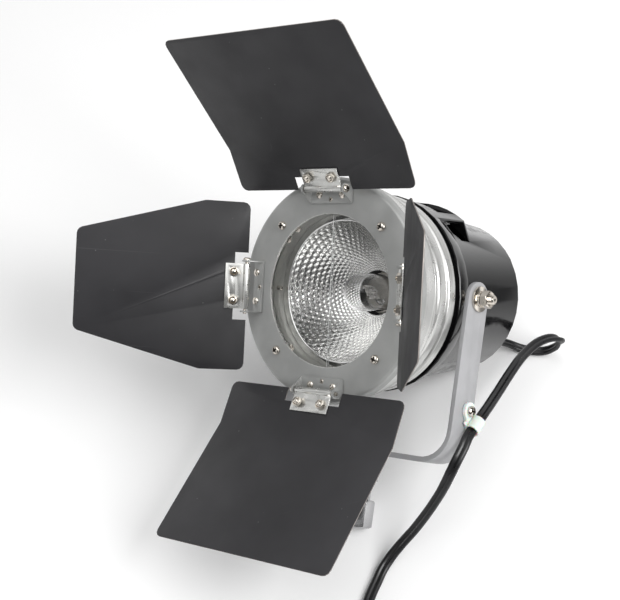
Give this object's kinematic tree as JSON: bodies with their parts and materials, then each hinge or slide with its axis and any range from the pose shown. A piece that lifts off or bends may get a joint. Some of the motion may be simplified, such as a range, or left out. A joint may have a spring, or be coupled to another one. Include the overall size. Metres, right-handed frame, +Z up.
{
  "type": "video light",
  "caption": "Hand-size continuous video light: smooth black housing with a vented hood, silver barrel with a dimpled reflector, barn doors, and a yoke with a hexagonal stand spigot.",
  "frame": {"origin": "on the table plane, under the middle of the lamp's bounding box; its cord, coil and plug are left out of the box", "axes": "+Z up from the table the lamp lies on, -Y towards the side seen in the picture, +X to the right in the picture"},
  "size_m": [0.3294, 0.4616, 0.3066],
  "materials": {
    "grey_paint": "satin light grey paint",
    "satin_alloy": "satin, lightly brushed",
    "black_sheet": "matte black baked coating, lightly worn at the edges",
    "gloss_black": "gloss black enamel",
    "matt_black": "matte black",
    "nickel": "bright nickel plating",
    "turned_alloy": "bright turned metal",
    "mirror": "polished, hammered with shallow dimples",
    "glass": "clear",
    "ceramic": "unglazed, cream",
    "nylon": "translucent, smooth",
    "cord_black": "satin black"
  },
  "bodies": {
    "yoke_body": {"yoke": "grey_paint", "spigot": "turned_alloy", "spigot_bolt": "nickel", "cord_clip": "nylon", "clip_screw": "nickel", "tilt_washer_left": "nickel", "tilt_washer_right": "nickel", "cord_lead": "cord_black", "cord_tail": "cord_black", "cord_coil": "cord_black", "plug": "matt_black"},
    "head": {"front_ring": "grey_paint", "ring_screw_1": "nickel", "ring_screw_2": "nickel", "ring_screw_3": "nickel", "ring_screw_4": "nickel", "hinge_bracket_top": "satin_alloy", "hinge_pin_top": "nickel", "hinge_bracket_bottom": "satin_alloy", "hinge_pin_bottom": "nickel", "hinge_bracket_left": "satin_alloy", "hinge_pin_left": "nickel", "hinge_bracket_right": "satin_alloy", "hinge_pin_right": "nickel", "front_barrel": "satin_alloy", "sleeve_screw": "nickel", "safety_glass_right": "glass", "safety_glass_left": "glass", "glass_clip_upper": "nickel", "glass_clip_middle": "nickel", "glass_clip_lower": "nickel", "reflector": "mirror", "bulb_envelope": "glass", "bulb_base": "ceramic", "lamp_socket": "ceramic", "socket_bridge": "satin_alloy", "neck_collar": "matt_black", "housing": "gloss_black", "rear_cap": "matt_black", "cord_gland": "matt_black", "tilt_stud_right": "nickel", "tilt_nut_right": "nickel", "tilt_stud_left": "nickel", "tilt_nut_left": "nickel"},
    "barn_door_top": {"door_top": "black_sheet", "hinge_leaf_top": "satin_alloy", "leaf_bolt_top_1": "nickel", "leaf_bolt_top_2": "nickel"},
    "barn_door_bottom": {"door_bottom": "black_sheet", "hinge_leaf_bottom": "satin_alloy", "leaf_bolt_bottom_1": "nickel", "leaf_bolt_bottom_2": "nickel"},
    "barn_door_left": {"door_left": "black_sheet", "hinge_leaf_left": "satin_alloy", "leaf_bolt_left_1": "nickel", "leaf_bolt_left_2": "nickel"},
    "barn_door_right": {"door_right": "black_sheet", "hinge_leaf_right": "satin_alloy", "leaf_bolt_right_1": "nickel", "leaf_bolt_right_2": "nickel"}
  },
  "joints": [
    {"name": "head_tilt", "type": "hinge", "parent": "yoke_body", "child": "head", "pos_m": [0.05913, 0.06538, 0.08844], "axis": [0.7834, -0.4437, 0.4352], "range_deg": [-90, 22], "deforming": ["cord_lead"]},
    {"name": "door_top_hinge", "type": "hinge", "parent": "head", "child": "barn_door_top", "pos_m": [0.0199, 0.08152, 0.17551], "axis": [0.7834, -0.4437, 0.4352], "range_deg": [-65, 60]},
    {"name": "door_bottom_hinge", "type": "hinge", "parent": "head", "child": "barn_door_bottom", "pos_m": [0.00901, -0.01594, 0.09575], "axis": [-0.7834, 0.4437, -0.4352], "range_deg": [-57, 68]},
    {"name": "door_left_hinge", "type": "hinge", "parent": "head", "child": "barn_door_left", "pos_m": [-0.03506, 0.06083, 0.10813], "axis": [0.0862, 0.771, 0.631], "range_deg": [-80.5, 74.5]},
    {"name": "door_right_hinge", "type": "hinge", "parent": "head", "child": "barn_door_right", "pos_m": [0.06396, 0.00475, 0.16314], "axis": [-0.0862, -0.771, -0.631], "range_deg": [-83.3, 71.7]}
  ]
}
